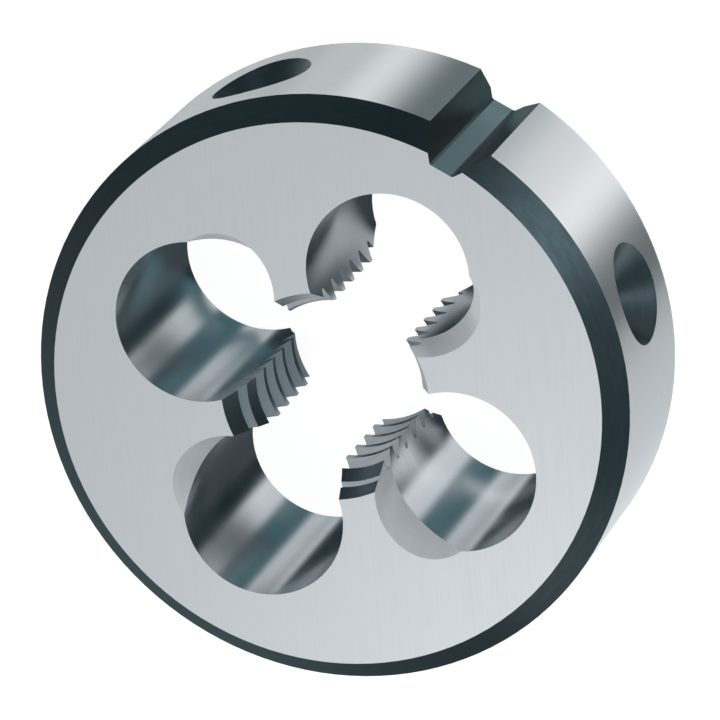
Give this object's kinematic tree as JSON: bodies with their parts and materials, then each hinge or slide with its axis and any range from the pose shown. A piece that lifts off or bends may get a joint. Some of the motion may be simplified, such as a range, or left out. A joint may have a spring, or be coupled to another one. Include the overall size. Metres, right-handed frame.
{
  "type": "round threading die",
  "caption": "Round one-piece threading die: a chamfered steel disc with chip holes round a threaded bore, spiral-point reliefs, a rim notch and screw seats.",
  "frame": {"origin": "centre of the back face, on the axis of the thread", "axes": "+Z along the axis of the die towards the entry face, where the screw blank goes in; +X towards the adjusting notch in the rim"},
  "size_m": [0.0299, 0.03, 0.011],
  "materials": {
    "tool_steel": "ground faces and rim, darker hardened chamfers, notch, seats and chip holes"
  },
  "bodies": {
    "root": {"die_body": "tool_steel"}
  },
  "joints": []
}
